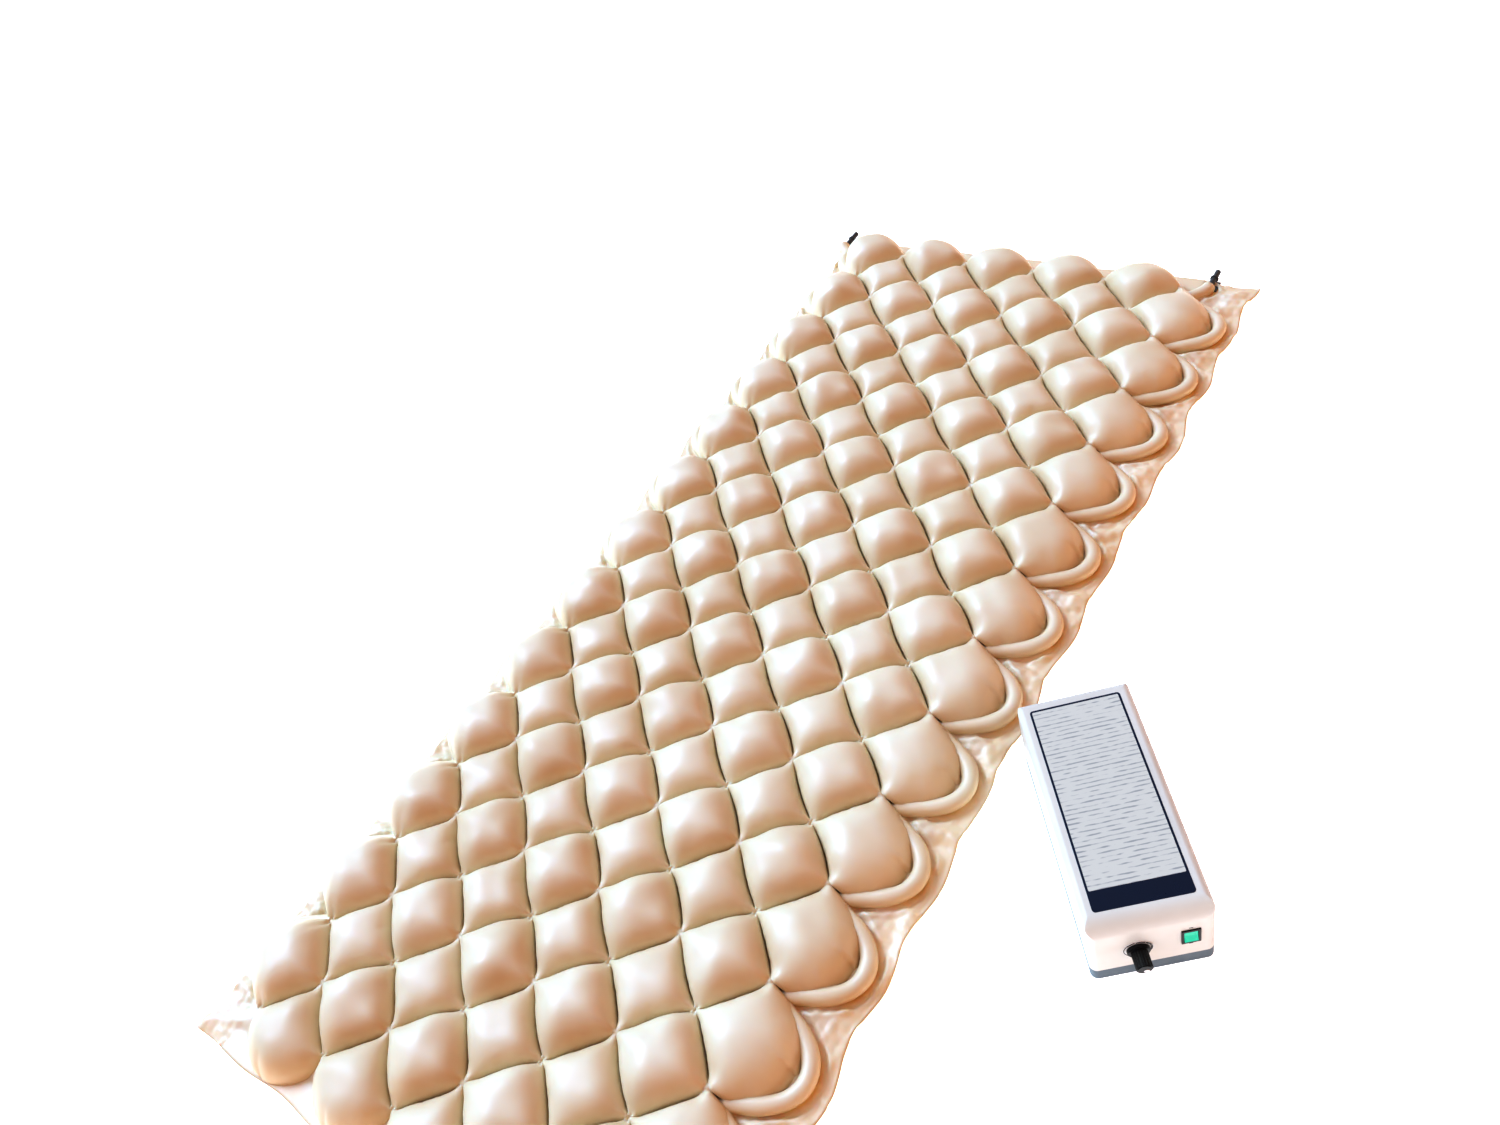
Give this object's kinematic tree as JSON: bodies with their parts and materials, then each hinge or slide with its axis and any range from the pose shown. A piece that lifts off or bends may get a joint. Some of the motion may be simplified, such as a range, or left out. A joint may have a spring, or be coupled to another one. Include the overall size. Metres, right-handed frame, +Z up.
{
  "type": "pressure relief mattress",
  "caption": "Alternating-pressure bubble overlay mattress with two air circuits, side air channels and a box-shaped air pump with a pressure knob and lit switch.",
  "frame": {"origin": "centre of the mattress's underside, on the floor", "axes": "+X to the mattress's right, the side the pump stands on; +Y to its foot end, where the air inlets are; +Z up"},
  "size_m": [1.174, 1.915, 0.1203],
  "materials": {
    "mattress_pvc": "satin",
    "cell_pvc": "satin",
    "connector_plastic": "satin",
    "housing_white": "satin",
    "housing_slate": "satin",
    "foot_rubber": "matte",
    "screw_steel": "satin",
    "label_film": "satin",
    "dial_print": "satin",
    "black_plastic": "satin",
    "rocker_green": "gloss",
    "frame_steel": "satin",
    "core_steel": "satin",
    "coil_copper": "satin",
    "chamber_plastic": "satin",
    "diaphragm_rubber": "matte",
    "silicone": "satin",
    "wire_blue": "satin",
    "filter_felt": "matte",
    "magnet_steel": "satin",
    "arm_plastic": "satin"
  },
  "bodies": {
    "mattress": {"bottom_sheet": "mattress_pvc", "top_sheet": "mattress_pvc", "manifold_a": "mattress_pvc", "manifold_b": "mattress_pvc", "air_inlet_a": "connector_plastic", "air_inlet_b": "connector_plastic"},
    "pump": {"pump_base": "housing_slate", "pump_cover": "housing_white", "rubber_feet": "foot_rubber", "housing_screws": "screw_steel", "top_label": "label_film", "dial_ring": "dial_print", "switch_housing": "black_plastic", "outlet_a": "connector_plastic", "outlet_b": "connector_plastic", "cord_grommet": "foot_rubber", "fuse_holder": "black_plastic", "compressor_frame": "frame_steel", "vibration_mounts": "foot_rubber", "magnet_core": "core_steel", "coil": "coil_copper", "pump_chamber_left": "chamber_plastic", "pump_chamber_right": "chamber_plastic", "diaphragm_left": "diaphragm_rubber", "diaphragm_right": "diaphragm_rubber", "distributor_body": "chamber_plastic", "valve_motor": "frame_steel", "motor_bracket": "frame_steel", "regulator_body": "black_plastic", "silicone_tubes": "silicone", "terminal_block": "chamber_plastic", "wire_harness": "wire_blue", "intake_filter": "filter_felt"},
    "cells_a": {"cells_a": "cell_pvc"},
    "cells_b": {"cells_b": "cell_pvc"},
    "knob": {"pressure_knob": "black_plastic", "knob_spindle": "screw_steel"},
    "rocker": {"power_rocker": "rocker_green"},
    "left_arm": {"arm_left": "arm_plastic", "magnet_left": "magnet_steel"},
    "right_arm": {"arm_right": "arm_plastic", "magnet_right": "magnet_steel"},
    "valve": {"valve_rotor": "black_plastic", "rotor_shaft": "screw_steel"}
  },
  "joints": [
    {"name": "cells_a_pressure", "type": "slide", "parent": "mattress", "child": "cells_a", "axis": [0, 0, 1], "range_m": [-0.035, 0], "stiffness_N_per_m": 20000, "springref_m": 0.001},
    {"name": "cells_b_pressure", "type": "slide", "parent": "mattress", "child": "cells_b", "axis": [0, 0, 1], "range_m": [-0.035, 0], "stiffness_N_per_m": 20000, "springref_m": 0.001},
    {"name": "pump_lift", "type": "slide", "parent": "mattress", "child": "pump", "axis": [0, 0, 1], "range_m": [0, 0.35]},
    {"name": "knob_turn", "type": "hinge", "parent": "pump", "child": "knob", "pos_m": [0.68282, -0.31199, 0.061], "axis": [0.6157, -0.788, 0], "range_deg": [0, 270]},
    {"name": "rocker_press", "type": "hinge", "parent": "pump", "child": "rocker", "pos_m": [0.72668, -0.27392, 0.067], "axis": [0.788, 0.6157, 0], "range_deg": [0, 16]},
    {"name": "left_arm_swing", "type": "hinge", "parent": "pump", "child": "left_arm", "pos_m": [0.55498, -0.16949, 0.048], "axis": [0, 0, 1], "range_deg": [-1.2, 1.2], "stiffness_Nm_per_rad": 0.5},
    {"name": "right_arm_swing", "type": "hinge", "parent": "pump", "child": "right_arm", "pos_m": [0.60069, -0.13378, 0.048], "axis": [0, 0, 1], "range_deg": [-1.2, 1.2], "stiffness_Nm_per_rad": 0.5},
    {"name": "valve_turn", "type": "hinge", "parent": "pump", "child": "valve", "pos_m": [0.52548, -0.11386, 0.03], "axis": [0, 0, 1], "continuous": true}
  ],
  "couplings": [
    {"joint": "right_arm_swing", "follows": "left_arm_swing", "ratio": -1}
  ]
}
